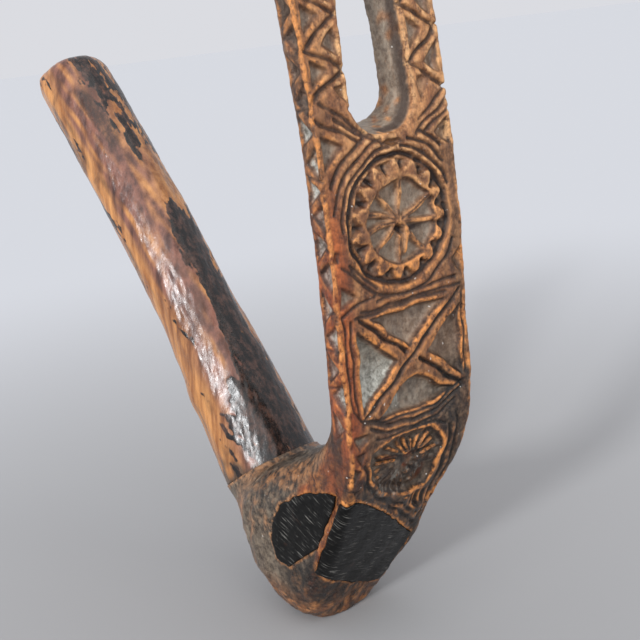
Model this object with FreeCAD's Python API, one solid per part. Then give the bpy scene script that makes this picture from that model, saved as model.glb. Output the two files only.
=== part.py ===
import FreeCAD, Part
import os
import math
from FreeCAD import Vector

# Carved wooden crook: a slotted, chip-carved upright limb that ends in a
# rounded heel, and a plain round limb tenoned into the heel at an angle.
# Millimetres. +Z up, the carved face looks along -Y, the origin is the middle
# of the flat foot under the heel.

# ---- driving dimensions ----
PANEL_W = 60.0            # width of the carved face
EDGE_T = 9.0              # thickness of the slotted limb at its side edges
MID_T = 18.0              # thickness at its middle line (rounded back)
TOP_Z = 296.0             # top of the slotted limb
SPLIT_Z = 62.0            # height where the slotted limb grows out of the heel
SLOT_W = 27.6             # width of the through slot
SLOT_Z0 = 182.0           # bottom of the slot
SLOT_Z1 = 268.0           # top of the slot
SLOT_R = 11.5             # corner radius of the slot
FOOT_D = 24.0             # depth of the flat foot, front to back
LIMB_Y = 25.0             # where the round limb's axis starts, in y
LIMB_Z = 48.4             # and in z
LIMB_ANGLE = 61.1         # angle of that axis above the floor at its root
LIMB_BOW = 4.7            # how far the limb bows outward over its first 100 mm
LIMB_LEN = 198.0          # from the axis start to the far end
SEAM_T = 2.5              # seam between the limb and the heel's collar
COLLAR_R = 19.9           # radius of the heel's collar at the seam
ROOT_R = 19.4             # radius of the round limb at the seam
SHAFT_R = 16.0            # radius of the round limb along most of its length
TIP_R = 15.2              # radius at the far end
TENON_R = 9.0             # radius of the tenon inside the heel
TENON_L = 26.0            # length of the tenon
FIT_GAP = 0.05            # play between tenon and socket
PEG_R = 2.4               # radius of the cross peg
PITCH_T = 1.2             # thickness of the black pitch in its beds

LX = math.cos(math.radians(LIMB_ANGLE))
LZ = math.sin(math.radians(LIMB_ANGLE))
ROOT = Vector(0, LIMB_Y, LIMB_Z)
ALONG = Vector(0, LX, LZ)
ACROSS = Vector(0, LZ, -LX)


def axis_point(t):
    """Point on the round limb's bowed axis, t mm from its start."""
    bow = LIMB_BOW * (max(t, 0.0) / 100.0) ** 2
    return ROOT + ALONG * t + ACROSS * bow


def axis_dir(t):
    """Direction of the bowed axis at t."""
    d = ALONG + ACROSS * (2.0 * LIMB_BOW * max(t, 0.0) / 10000.0)
    d.normalize()
    return d


def arc(a, b, c):
    return Part.Arc(a, b, c).toShape()


def section(z, x0, x1, yf, ye, ym, rf, rb):
    """Closed level section: flat front at yf, back bulging from ye to ym."""
    k = 1.0 - math.sqrt(0.5)
    p = [Vector(x0 + rf, yf, z), Vector(x1 - rf, yf, z), Vector(x1, yf + rf, z), Vector(x1, ye - rb, z)]
    q = [Vector(x1 - rb, ye, z), Vector(x0 + rb, ye, z), Vector(x0, ye - rb, z), Vector(x0, yf + rf, z)]
    edges = [Part.makeLine(p[0], p[1])]
    edges.append(arc(p[1], Vector(x1 - rf * k, yf + rf * k, z), p[2]))
    edges.append(Part.makeLine(p[2], p[3]))
    edges.append(arc(p[3], Vector(x1 - rb * k, ye - rb * k, z), q[0]))
    edges.append(arc(q[0], Vector((x0 + x1) / 2.0, ym, z), q[1]))
    edges.append(arc(q[1], Vector(x0 + rb * k, ye - rb * k, z), q[2]))
    edges.append(Part.makeLine(q[2], q[3]))
    edges.append(arc(q[3], Vector(x0 + rf * k, yf + rf * k, z), p[0]))
    return Part.Wire(edges)


def heel_block():
    """Rounded heel from the flat foot up to where the two limbs part."""
    f = FOOT_D / 2.0
    rows = [
        section(0.0, -13.0, 12.0, -f, f - 1.0, f, 6.0, 8.0),
        section(3.0, -17.5, 15.5, -14.5, 13.0, 15.0, 7.0, 10.0),
        section(9.0, -21.5, 19.0, -18.0, 15.5, 19.0, 7.0, 11.0),
        section(19.0, -25.0, 22.0, -24.0, 19.0, 24.0, 5.5, 12.0),
        section(33.0, -27.0, 23.5, -33.0, 22.0, 28.5, 4.5, 12.0),
        section(48.0, -28.0, 24.5, -42.5, 20.0, 27.0, 4.0, 11.0),
        section(SPLIT_Z, -28.5, 25.0, -51.0, -2.0, 5.0, 3.0, 8.0),
    ]
    return Part.makeLoft(rows, True, False)


def front_y(z):
    """Front face of the slotted limb: upright, leaning back toward the top."""
    knots = [(62, -51.0), (70, -55.3), (80, -57.6), (95, -58.2), (120, -58.8), (150, -59.5),
             (180, -59.0), (210, -56.5), (240, -53.2), (270, -49.6), (296, -46.2)]
    for (z0, y0), (z1, y1) in zip(knots, knots[1:]):
        if z <= z1:
            return y0 + (y1 - y0) * (z - z0) / (z1 - z0)
    return knots[-1][1]


def blade():
    """The slotted limb, flat in front and rounded behind, growing from the heel."""
    h = PANEL_W / 2.0
    y = front_y(SPLIT_Z)
    rows = [section(SPLIT_Z, -28.5, 25.0, y, -16.0, -11.0, 3.0, 8.0)]
    rows.append(section(70.0, -29.0, 26.5, front_y(70), -28.0, -20.0, 2.0, 6.0))
    rows.append(section(80.0, -29.5, 28.5, front_y(80), -41.0, -31.0, 1.5, 4.5))
    rows.append(section(95.0, -h, h, front_y(95), -48.5, -39.8, 1.2, 3.0))
    for z in (120.0, 150.0, 180.0, 210.0, 240.0, 270.0, TOP_Z):
        y = front_y(z)
        rows.append(section(z, -h, h, y, y + EDGE_T, y + MID_T, 1.0, 2.5))
    return Part.makeLoft(rows, True, False)


def web():
    """Fillet of wood in the fork between the two limbs."""
    pts = [(-48, 60), (-48, 90), (-41, 84), (-33, 74.5), (-22, 68.5), (-7, 65), (6, 61), (6, 56)]
    ring = [Vector(-20, y, z) for y, z in pts]
    face = Part.Face(Part.makePolygon(ring + [ring[0]]))
    return face.extrude(Vector(37, 0, 0))


def collar():
    """Round shoulder of the heel that meets the round limb."""
    a = axis_point(-46.0)
    return Part.makeCone(11.5, COLLAR_R, 46.0 + SEAM_T, a, ALONG)


def slot_cut():
    """Through slot with well rounded ends."""
    x = SLOT_W / 2.0
    box = Part.makeBox(SLOT_W, 60, SLOT_Z1 - SLOT_Z0, Vector(-x, -80, SLOT_Z0))
    upright = [e for e in box.Edges if abs(e.tangentAt(e.FirstParameter).y) > 0.9]
    return box.makeFillet(SLOT_R, upright)


def rounded_top():
    """Tool that rounds the two top corners of the slotted limb."""
    h = PANEL_W / 2.0
    box = Part.makeBox(PANEL_W, 60, TOP_Z + 20.0, Vector(-h, -80, -20))
    top = [e for e in box.Edges if abs(e.tangentAt(e.FirstParameter).y) > 0.9]
    top = [e for e in top if e.CenterOfMass.z > TOP_Z - 1.0]
    return box.makeFillet(16.0, top)


def heel_solid():
    """The whole carved limb before its sockets and beds are cut."""
    upper = blade().common(rounded_top())
    body = heel_block().fuse([upper, web(), collar()])
    body = body.cut(slot_cut())
    floor = Part.makeBox(200, 200, 50, Vector(-100, -100, -50))
    return body.cut(floor).removeSplitter()


def prism(points, normal, depth):
    """Prism on a flat outline, grown both ways along its normal."""
    n = Vector(normal)
    n.normalize()
    ring = [p - n * depth for p in points]
    face = Part.Face(Part.makePolygon(ring + [ring[0]]))
    return face.extrude(n * (depth + 12.0))


def front_bed():
    """Outline of the large pitch patch, on the sloping front of the heel."""
    slope = Vector(0, -0.848, -0.53)
    up = Vector(0, -0.53, 0.848)
    base = Vector(0, -33.0, 33.0)
    outline = [(-27.5, 22), (-27, 33), (-25, 36), (-18, 31.5), (-7.5, 22.5), (4.5, 10.5), (13.5, 1), (17.5, -3),
               (17.5, -9), (15.5, -16), (14, -23), (11, -27.5), (4, -25), (-7, -18.5), (-19, -9.5), (-26.5, -4),
               (-27.5, 4)]
    pts = [base + Vector(x, 0, 0) + up * s for x, s in outline]
    return prism(pts, slope, PITCH_T)


def side_bed():
    """Outline of the small pitch patch, on the left side of the heel."""
    lean = 0.062
    n = Vector(-1, 0, -lean)
    outline = [(-5, 30), (-5, 40), (-9, 48), (-14, 54.5), (-25, 61), (-36, 64), (-40, 62), (-38.5, 56),
               (-35, 50), (-30, 44.5), (-24, 39.5), (-17, 34.5), (-11.5, 29)]
    pts = [Vector(-26.7 - lean * (z - 30.0), y, z) for y, z in outline]
    return prism(pts, n, PITCH_T)


def socket(t0, radius):
    """Round blind socket for the tenon, opening at the seam."""
    return Part.makeCylinder(radius, SEAM_T - t0, axis_point(t0), ALONG)


def peg_tool():
    """Cross peg through the right cheek of the heel and the tenon."""
    c = axis_point(-9.0)
    return Part.makeCylinder(PEG_R, 44.0, Vector(-13.0, c.y, c.z), Vector(1, 0, 0))


def wedge():
    """Small wedge that spreads the blind end of the tenon."""
    t0 = SEAM_T - TENON_L
    a = axis_point(t0)
    ring = [a + ACROSS * 1.6, a - ACROSS * 1.6, a - ACROSS * 0.4 + ALONG * 9.0, a + ACROSS * 0.4 + ALONG * 9.0]
    ring = [p + Vector(-6.5, 0, 0) for p in ring]
    face = Part.Face(Part.makePolygon(ring + [ring[0]]))
    return face.extrude(Vector(13, 0, 0))


def shaft():
    """Bowed round limb with a rounded far end and a tenon."""
    stations = [(SEAM_T, ROOT_R), (20, 18.9), (45, 17.4), (75, SHAFT_R), (110, 15.8), (150, 15.6), (LIMB_LEN, TIP_R)]
    rings = []
    for t, r in stations:
        circle = Part.makeCircle(r, axis_point(t), axis_dir(t))
        rings.append(Part.Wire(circle))
    limb = Part.makeLoft(rings, True, False)
    end = [e for e in limb.Edges if e.BoundBox.ZMin > 150 and len(e.Vertexes) == 1]
    limb = limb.makeFillet(7.0, end)
    tenon = Part.makeCylinder(TENON_R - FIT_GAP, TENON_L + 1.0, axis_point(SEAM_T - TENON_L), ALONG)
    return limb.fuse(tenon).removeSplitter()


def single(shape):
    """Largest solid of a boolean result."""
    return sorted(shape.Solids, key=lambda s: s.Volume)[-1]


def build():
    whole = heel_solid()
    big = single(whole.common(front_bed()))
    small = single(whole.common(side_bed()).cut(big))
    key = wedge()
    pin = single(peg_tool().common(whole))
    carved = whole.cut(big).cut(small)
    stick = shaft()
    carved = single(carved.cut(socket(SEAM_T - TENON_L, TENON_R)).cut(pin).cut(stick))
    limb = single(stick.cut(key).cut(pin))
    return {
        "carved_limb": carved,
        "round_limb": limb,
        "tenon_wedge": key,
        "tenon_peg": pin,
        "front_pitch_patch": big,
        "side_pitch_patch": small,
    }


os.makedirs("parts", exist_ok=True)
for name, shape in build().items():
    shape.exportStep("parts/" + name + ".step")
    print(name, round(shape.Volume), shape.isValid())
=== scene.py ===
import math
from concurrent.futures import ThreadPoolExecutor
from functools import reduce
from types import SimpleNamespace
import bpy
import numpy as np
from mathutils import Matrix, Vector


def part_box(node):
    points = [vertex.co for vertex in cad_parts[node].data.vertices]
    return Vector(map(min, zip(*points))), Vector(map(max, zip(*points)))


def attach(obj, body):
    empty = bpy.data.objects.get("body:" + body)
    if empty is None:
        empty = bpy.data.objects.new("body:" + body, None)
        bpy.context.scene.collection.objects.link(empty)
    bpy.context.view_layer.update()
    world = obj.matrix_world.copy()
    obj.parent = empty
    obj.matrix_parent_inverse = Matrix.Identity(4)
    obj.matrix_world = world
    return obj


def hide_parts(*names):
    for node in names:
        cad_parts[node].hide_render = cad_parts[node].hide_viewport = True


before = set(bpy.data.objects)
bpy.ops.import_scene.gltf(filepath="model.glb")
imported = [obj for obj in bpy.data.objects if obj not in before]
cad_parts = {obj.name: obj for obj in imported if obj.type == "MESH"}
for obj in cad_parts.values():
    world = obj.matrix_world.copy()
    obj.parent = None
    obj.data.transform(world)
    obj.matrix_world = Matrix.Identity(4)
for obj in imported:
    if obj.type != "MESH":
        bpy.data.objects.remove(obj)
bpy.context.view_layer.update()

# Everything below is worked out in millimetres in the row frame: +Z up, the
# carved face looks along -Y, the origin is the middle of the foot.
MM = 0.001
STEP = 0.42      # spacing of the carved limb's mesh
THIN, THIN_SMALL = 0.42, 0.5             # share of the faces kept on the limbs, and on the rest
TOP_Z = round(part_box("carved_limb")[1].z / MM, 2)
HALF_W, CORNER_R = 30.0, 16.0            # the carved face's half width and its top corners
SLOT_X, SLOT_Z0, SLOT_Z1, SLOT_R = 13.8, 182.0, 268.0, 11.5
ROSE_X, ROSE_Z, ROSE_RX, ROSE_RZ = -2.4, 69.6, 17.5, 13.0   # the small rosette
ROOT_Y, ROOT_Z, LIMB_ANGLE, LIMB_BOW = 25.0, 48.4, 61.1, 4.7
SEAM_T, LIMB_LEN = 2.5, 198.0            # the limbs' seam and the round limb's end, along its axis
COLLAR_R, SOCKET_R, SOCKET_REACH = 19.55, 19.0, 27.0
TENON_L, TENON_R = 26.0, 9.0
KEY_T, KEY_L, KEY_X, GAP = 1.6, 9.0, 6.5, 0.04   # the wedge's slit in the tenon, and its play
PITCH_T, FRONT_BED_T, SIDE_BED_T = 1.2, 4.6, 7.0 # the beds' depth, and where each ends
PEG_Y, PEG_Z, PEG_R, PEG_END_X = 20.65, 40.5, 2.4, -13.0
LX, LZ = math.cos(math.radians(LIMB_ANGLE)), math.sin(math.radians(LIMB_ANGLE))


# ---------- curves and soft joins ----------
def smooth_curve(knots, reach=3.0):
    """Rounds a broken line of (place, value) knots into a smooth function."""
    pitch = 0.25
    grid = np.arange(-12.0, 312.0, pitch)
    line = np.interp(grid, [k[0] for k in knots], [k[1] for k in knots])
    w = np.exp(-0.5 * (np.arange(-3 * reach, 3 * reach + 0.1, pitch) / reach) ** 2)
    padded = np.pad(line, len(w) // 2, mode="edge")
    line = np.convolve(padded, w / w.sum(), "valid")[: len(grid)]
    return lambda z: np.interp(z, grid, line)


def slope_of(curve, z):
    return curve(z + 0.5) - curve(z - 0.5)


def smax(a, b, k):
    """Larger of two distances, rounded over a width k."""
    h = np.clip(0.5 + 0.5 * (a - b) / k, 0.0, 1.0)
    return b + (a - b) * h + k * h * (1.0 - h)


def smin(a, b, k):
    return -smax(-a, -b, k)


def step01(x, a, b):
    """Smooth rise from 0 at a to 1 at b."""
    t = np.clip((x - a) / (b - a), 0.0, 1.0)
    return t * t * (3.0 - 2.0 * t)


def most(*shares):
    """Largest of several arrays or numbers, place by place."""
    return reduce(np.maximum, shares)


def waves(x, y, z, size, seed, count=7):
    """Smooth noise of about -1 to 1, as a sum of seeded sine waves."""
    rng = np.random.default_rng(seed)
    total = np.zeros_like(x)
    for _ in range(count):
        d = rng.normal(size=3)
        d *= rng.uniform(0.6, 1.6) * 2.0 * math.pi / size / np.linalg.norm(d)
        total += np.sin(x * d[0] + y * d[1] + z * d[2] + rng.uniform(0, 6.28))
    return total / math.sqrt(count)


# The carved limb's outline by height: the face, the two side edges, the back at the
# edges and how far it swells at the middle, and how round the arrises are.
front_y = smooth_curve([
    (0, -12), (9, -18), (19, -24), (33, -33), (48, -42.5), (62, -51), (70, -55.3), (80, -57.6),
    (95, -58.2), (120, -58.8), (150, -59.5), (180, -59), (210, -56.5), (240, -53.2), (270, -49.6),
    (296, -46.2)], 2.5)
left_x = smooth_curve([
    (0, -13), (3, -17.5), (9, -21.5), (19, -25), (33, -27), (48, -28), (62, -28.5), (70, -29),
    (80, -29.5), (95, -30), (300, -30)], 2.0)
right_x = smooth_curve([
    (0, 12), (3, 15.5), (9, 19), (19, 22), (33, 23.5), (48, 24.5), (62, 25), (70, 26.5), (80, 28.5),
    (95, 30), (300, 30)], 2.0)
back_edge = smooth_curve([
    (0, 9), (9, 14), (19, 18), (33, 21), (48, 18), (56, 8), (62, -5), (68, -20), (74, -33),
    (80, -41), (88, -46.5), (95, -48.5), (105, -49.3), (120, -49.8), (150, -50.5), (180, -50),
    (210, -47.5), (240, -44.2), (270, -40.6), (296, -37.2)], 2.5)
back_bulge = smooth_curve([(0, 3), (33, 7), (62, 7), (80, 10), (95, 8.8), (120, 9), (300, 9)], 3.0)
front_soft = smooth_curve([(0, 9), (19, 7), (48, 5), (66, 2.2), (80, 1.5), (300, 1.3)], 3.0)
back_soft = smooth_curve([(0, 12), (33, 17), (60, 14), (80, 8), (100, 4.5), (300, 4)], 3.0)

# The round limb's radius along its axis.
limb_r = smooth_curve([
    (-12, 19.4), (2.5, 19.4), (20, 18.9), (45, 17.4), (75, 16), (110, 15.8), (150, 15.6),
    (198, 15.2), (300, 15.2)], 5.0)


def limb_coords(x, y, z):
    """Place along the round limb's bowed axis, distance from it, and angle round it."""
    t = (y - ROOT_Y) * LX + (z - ROOT_Z) * LZ
    q = (y - ROOT_Y) * LZ - (z - ROOT_Z) * LX
    q = q - LIMB_BOW * (most(t, 0.0) / 100.0) ** 2
    return t, np.sqrt(x * x + q * q), np.arctan2(x, q)


# ---------- knife work, drawn on a flat board and then cut into the wood ----------
class Board:
    """Cut depth, dark pigment with painted shade, and pale patina over an unrolled face, u across
    and v along it.
    """

    def __init__(self, u0, u1, v0, v1, res=0.2, wobble=0.42):
        self.u0, self.v0, self.res = u0, v0, res
        us, vs = np.arange(u0, u1 + res, res), np.arange(v0, v1 + res, res)
        u, v = np.meshgrid(us, vs, indexing="ij")
        zero = np.zeros_like(u)
        self.wu = u + wobble * waves(u, v, zero, 13, 3)
        self.wv = v + wobble * waves(u, v, zero, 11, 4)
        self.nick = 1.0 + 0.2 * waves(u, v, zero, 6, 5) + 0.14 * waves(u, v, zero, 2.2, 6)
        self.depth, self.dark, self.pale, self.proud = (zero.copy() for _ in range(4))

    def window(self, us, vs, pad):
        """The part of the board within pad of these places."""
        i0 = max(int((min(us) - pad - self.u0) / self.res), 0)
        i1 = max(int((max(us) + pad - self.u0) / self.res) + 2, 0)
        j0 = max(int((min(vs) - pad - self.v0) / self.res), 0)
        j1 = max(int((max(vs) + pad - self.v0) / self.res) + 2, 0)
        return slice(i0, i1), slice(j0, j1)

    def near_run(self, a, b, pad):
        """The window round a straight run from a to b, and the distances from the run."""
        w = self.window((a[0], b[0]), (a[1], b[1]), pad)
        u, v = self.wu[w] - a[0], self.wv[w] - a[1]
        dx, dy = b[0] - a[0], b[1] - a[1]
        t = np.clip((u * dx + v * dy) / (dx * dx + dy * dy), 0.0, 1.0)
        return w, np.hypot(u - t * dx, v - t * dy)

    def near_ellipse(self, centre, radii, pad):
        """The window round an ellipse, and the places in it as shares of its radii."""
        (cu, cv), (ru, rv) = centre, radii
        w = self.window((cu - ru, cu + ru), (cv - rv, cv + rv), pad)
        return w, (self.wu[w] - cu) / ru, (self.wv[w] - cv) / rv

    def cut(self, w, far, depth, dark):
        """Lowers a window of the board where far is under 1."""
        prof = np.clip(1.0 - far, 0.0, 1.0) * self.nick[w]
        self.depth[w] = most(self.depth[w], depth * np.minimum(prof * 1.25, 1.0))
        self.dark[w] = most(self.dark[w], dark * np.clip(prof * 1.6, 0.0, 1.0))

    def groove(self, points, width=2.1, depth=1.1, dark=0.85):
        """V-shaped knife line along straight runs between the points."""
        for a, b in zip(points, points[1:]):
            w, far = self.near_run(a, b, width + 1.0)
            self.cut(w, far * 2.0 / width, depth, dark)

    def ring(self, centre, radii, width=2.1, depth=1.1, dark=0.85, span=(0.0, 360.0)):
        """Knife line along an ellipse, or along part of it."""
        w, u, v = self.near_ellipse(centre, radii, width + 1.0)
        angle = np.degrees(np.arctan2(v, u)) % 360.0
        inside = ((angle - span[0]) % 360.0) <= (span[1] - span[0])
        far = np.abs(np.hypot(u, v) - 1.0) * 0.5 * (radii[0] + radii[1]) * 2.0 / width
        self.cut(w, np.where(inside, far, 9.0), depth, dark)

    def hollow(self, w, inside, floor, wall, dark, pale):
        """Sinks a window of the board by its distance inside an outline."""
        cut = np.clip(np.minimum(inside * wall, floor), 0.0, None)
        self.depth[w] = most(self.depth[w], cut)
        # Dirt and painted shade darken the rim along the hollow's walls
        rim = np.clip(1.0 - np.abs(inside - 0.55) / 0.75, 0.0, 1.0) * (inside > -0.2)
        self.dark[w] = most(self.dark[w], dark * rim)
        self.pale[w] = most(self.pale[w], pale * step01(inside, 0.5, 1.4))

    def chip(self, points, depth=1.8, wall=1.25, dark=0.6, pale=0.6, deep=None):
        """Hollow with sloping walls inside a convex outline, deepest near the point deep."""
        us, vs = [p[0] for p in points], [p[1] for p in points]
        w = self.window(us, vs, 1.0)
        u, v = self.wu[w], self.wv[w]
        runs = list(zip(points, points[1:] + points[:1]))
        turn = sum(a[0] * b[1] - b[0] * a[1] for a, b in runs)
        inside = np.full(u.shape, 1e3)
        for a, b in runs:
            dx, dy = b[0] - a[0], b[1] - a[1]
            e = ((v - a[1]) * dx - (u - a[0]) * dy) / math.hypot(dx, dy)
            inside = np.minimum(inside, e * math.copysign(1.0, turn))
        floor = np.full(u.shape, depth)
        if deep is not None:
            size = max(max(us) - min(us), max(vs) - min(vs))
            away = np.clip(np.hypot(u - deep[0], v - deep[1]) / size, 0.0, 1.0)
            floor = depth * (1.0 - 0.75 * away)
        self.hollow(w, inside, floor, wall, dark, pale)

    def dish(self, centre, radii, depth, wall=1.1, dark=0.7, pale=0.6):
        """Hollow with an elliptical outline."""
        w, u, v = self.near_ellipse(centre, radii, 1.0)
        inside = (1.0 - np.hypot(u, v)) * min(radii)
        self.hollow(w, inside, np.full(u.shape, depth), wall, dark, pale)

    def ridge(self, a, b, width=1.8, height=1.0):
        """Leaves a narrow ridge standing in a hollow, from a to b."""
        w, far = self.near_run(a, b, width + 0.5)
        near = 1.0 - step01(far, 0.22 * width, 0.62 * width)
        self.depth[w] *= 1.0 - height * near
        self.pale[w] *= 1.0 - near
        self.dark[w] *= 1.0 - 0.8 * near

    def read(self, layer, u, v):
        """Values of the layer with this name at any places, between its cells."""
        cells = getattr(self, layer)
        a = np.clip((u - self.u0) / self.res, 0.0, cells.shape[0] - 1.001)
        b = np.clip((v - self.v0) / self.res, 0.0, cells.shape[1] - 1.001)
        i, j = a.astype(np.int32), b.astype(np.int32)
        a, b = a - i, b - j
        low = cells[i, j] * (1.0 - a) + cells[i + 1, j] * a
        high = cells[i, j + 1] * (1.0 - a) + cells[i + 1, j + 1] * a
        return low * (1.0 - b) + high * b


def blurred(layer, reach, res):
    """Layer smoothed over reach millimetres."""
    n = int(3 * reach / res) + 1
    w = np.exp(-0.5 * (np.arange(-n, n + 1) * res / reach) ** 2)
    w /= w.sum()
    for axis in (0, 1):
        total = np.zeros_like(layer)
        for k, part in zip(range(-n, n + 1), w):
            total += part * np.roll(layer, k, axis)
        layer = total
    return layer


def worn(board):
    """Rounds every cut and lets the ridges between cuts swell, as years of handling would."""
    soft, wide = blurred(board.depth, 0.3, board.res), blurred(board.depth, 1.4, board.res)
    board.proud = step01(wide - 1.3 * soft, 0.16, 0.55)
    board.depth = soft + 0.42 * wide
    board.pale = blurred(board.pale, 0.3, board.res)
    # Painted shade: deeper cuts are darkened in proportion to their depth, except where pale
    board.dark = most(board.dark, 0.5 * step01(soft, 0.25, 1.3) * (1.0 - board.pale))
    return board


def rail(b, inner, outer, turns):
    """Zigzag of knife lines up one rail of the slot, with a triangle cut in every bay."""
    sides = [(outer, inner)[k % 2] for k in range(len(turns))]
    for k in range(len(turns) - 1):
        b.groove([(sides[k], turns[k]), (sides[k + 1], turns[k + 1])], 2.1, 1.15)
    for k in range(1, len(turns) - 1):
        base, tip = sides[k - 1], sides[k - 1] + 0.56 * (sides[k] - sides[k - 1])
        low, high = turns[k - 1] + 3.3, turns[k + 1] - 3.1
        base += 0.05 * (sides[k] - base)
        bay = [(base, low), (base, high), (tip, turns[k])]
        b.chip(bay, 1.9, 1.25, 0.8, 0.75, deep=(base, turns[k]))


def slot_foot(b):
    """Knife lines and triangles between the slot and the big rosette."""
    for pts in ([(-26.4, 194.8), (-10, 183.8), (-2, 178.8)], [(12.6, 180.6), (29.4, 189.4)],
                [(-28.6, 189.8), (-20, 185.6), (-12, 181.0)], [(15, 184.6), (28.9, 193)],
                [(-21, 189), (-13.5, 184.5), (-6, 180.3)], [(17, 180.0), (29, 186.4)],
                [(-14.6, 191.6), (-10, 187), (-2, 182.8)]):
        b.groove(pts, 1.8, 0.95)
    b.chip([(-28.3, 186.2), (-19.2, 180.8), (-28, 173.6)], 2.1, 1.2, 0.8, 0.8, deep=(-28, 180))
    b.chip([(28.6, 184.6), (20.4, 179.8), (28.4, 174.2)], 2.1, 1.2, 0.9, 0.6, deep=(28, 180))
    b.chip([(-3.4, 179), (0, 181), (4.5, 180.6), (7, 178.8), (2, 177.4)], 1.7, 1.3, 1.0, 0.0)
    b.chip([(-20, 198.2), (-14.8, 199.6), (-14.6, 192.6)], 1.6, 1.2, 0.9, 0.4)
    b.chip([(16.4, 198), (24.6, 197.6), (17, 190)], 1.3, 1.2, 0.6, 0.3, deep=(17, 197))


def big_rosette(b):
    """Wheel with a toothed rim and raised spokes."""
    hub, disc = (2.6, 153.6), (16.0, 13.7)
    rim_c, rim = (1.3, 154.6), (22.2, 20.5)
    b.ring(rim_c, rim, 2.6, 1.7, 1.0)
    b.ring((1.5, 154.2), (26.4, 24.3), 1.8, 0.9, 0.9, span=(205, 335))
    for grow, span in ((0.2, (92, 180)), (3.5, (98, 166)), (6.8, (112, 150))):
        b.ring((1.5, 154.6), (25.2 + grow, 22.9 + grow), 1.9, 1.0, 0.85, span)
    for grow, span in ((0.2, (20, 84)), (3.2, (36, 78)), (6.2, (44, 66))):
        b.ring((1.5, 154.6), (25.0 + grow, 22.9 + grow), 1.8, 1.0, 0.95, span)
    teeth = 15
    for k in range(teeth):
        a = 2.0 * math.pi * (k + 0.35) / teeth
        pts = []
        for turn, r in ((-0.205, 0.99), (0.205, 0.99), (0.07, 0.81), (-0.07, 0.81)):
            pts.append((rim_c[0] + 0.6 + rim[0] * r * math.cos(a + turn),
                        rim_c[1] - 0.4 + rim[1] * r * math.sin(a + turn)))
        tip = ((pts[2][0] + pts[3][0]) / 2, (pts[2][1] + pts[3][1]) / 2)
        b.chip(pts, 1.5, 1.9, 0.45, 0.75)
        out = (tip[0] + 0.12 * (tip[0] - rim_c[0]), tip[1] + 0.12 * (tip[1] - rim_c[1]))
        b.groove([tip, out], 2.6, 2.3, 1.0)
    b.dish(hub, disc, 2.1, 1.6, 1.0, 0.8)
    for angle, far in ((85, 0.93), (129, 0.9), (158, 0.95), (184, 0.95), (218, 0.9), (262, 0.86),
                       (305, 0.9), (352, 0.95), (28, 0.93)):
        a = math.radians(angle)
        end = (hub[0] + disc[0] * far * math.cos(a), hub[1] + disc[1] * far * math.sin(a))
        start = (hub[0] + 1.2 * math.cos(a) - 1.0, hub[1] + 1.2 * math.sin(a))
        b.ridge(start, end, 2.5, 0.8)
        b.groove([start, end], 1.0, 0.9, 0.9)
    b.groove([(0.2, 151.6), (2.4, 150.6)], 3.2, 2.4, 1.0)
    b.ridge((3.6, 150.6), (3.4, 143.6), 2.6, 0.9)
    b.groove([(6, 150.2), (12, 150.6)], 2.6, 2.4, 1.0)


def below_rosette(b):
    """Small triangles and lines between the rosette and the crossed panel."""
    b.groove([(-26, 145), (-17.5, 137.2)], 1.6, 0.8)
    b.groove([(-22.8, 144.6), (-12, 135)], 1.6, 0.8)
    b.chip([(-28.2, 139.8), (-20, 133.7), (-28.2, 130.6)], 1.4, 1.0, 0.6, 0.8, deep=(-28, 136))
    b.chip([(28.4, 141), (22.8, 136.8), (28.2, 131)], 1.4, 1.0, 0.9, 0.4, deep=(28, 136))
    b.chip([(-29, 150.5), (-26, 149.8), (-26.6, 146.2), (-29, 147)], 1.0, 1.0, 1.0, 0.0)
    b.groove([(-27.2, 128.6), (-20, 131.4), (-13, 133.0)], 1.5, 0.8)
    b.groove([(-12, 130.6), (6, 129.8), (25, 130.6)], 1.7, 0.9)
    b.groove([(-20, 128.4), (0, 127.6), (26.5, 127.4)], 1.4, 0.75)


def crossed_panel(b):
    """Square panel with two crossing double ridges and four sunk triangles."""
    b.chip([(-22.4, 123.6), (-4.2, 108.4), (-22.4, 94.4)], 3.2, 1.35, 1.0, 1.0, deep=(-23, 114))
    b.chip([(-16.6, 126.2), (20.4, 124.6), (1.0, 110.8)], 2.9, 1.35, 1.0, 0.7, deep=(0, 126))
    b.chip([(26, 121.4), (8.6, 108), (25.8, 94.8)], 2.8, 1.35, 1.0, 0.6, deep=(14, 108))
    b.chip([(-17.4, 90.4), (-1.6, 101.6), (3.2, 101.6), (21, 91.2), (4, 88.8)],
               3.0, 1.35, 1.0, 0.85, deep=(2, 102))
    for pts in ([(-20.4, 126.2), (-10, 117.4), (-0.6, 110.2)],
                [(4.6, 106.2), (14, 99.8), (25.8, 91.4)],
                [(26.2, 125.6), (14, 117.2), (2.4, 108.6), (-9, 100.8), (-21.2, 93.4)]):
        b.groove(pts, 1.9, 1.5, 1.0)
    b.groove([(-24.6, 126.6), (-24.9, 108), (-24.4, 94.6)], 1.7, 1.0)
    b.groove([(-27.1, 127.8), (-27.2, 112), (-26.6, 97.6), (-22.6, 92.2)], 1.5, 0.9)
    b.groove([(-22.5, 127.0), (-4, 127.2), (20, 126.2)], 1.5, 0.9)
    b.groove([(27.2, 124.4), (27.4, 110), (26.8, 96)], 1.4, 0.9)


def arc_border(b):
    """Curved lines that close the crossed panel below."""
    b.groove([(-24, 93.4), (-14, 89.6), (0, 88.4), (12, 88.6), (26, 93.4)], 1.2, 0.8, 1.0)
    b.groove([(-22.5, 91.6), (-10.5, 88), (0.4, 86.2), (11.6, 86.8), (25, 90.8)], 1.7, 0.9)
    b.groove([(-19.8, 88.8), (-9.6, 85.2), (0.4, 83.8), (11.6, 84.4), (20.4, 87.2)], 1.5, 0.8)
    b.groove([(-18, 84.6), (-8, 83.4), (2, 83.2), (10, 82.6), (16, 80)], 1.3, 0.7)
    b.chip([(-28.4, 89.2), (-20.8, 88), (-21.6, 85.6), (-26, 82.6)], 1.4, 1.0, 0.8, 0.9)


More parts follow.
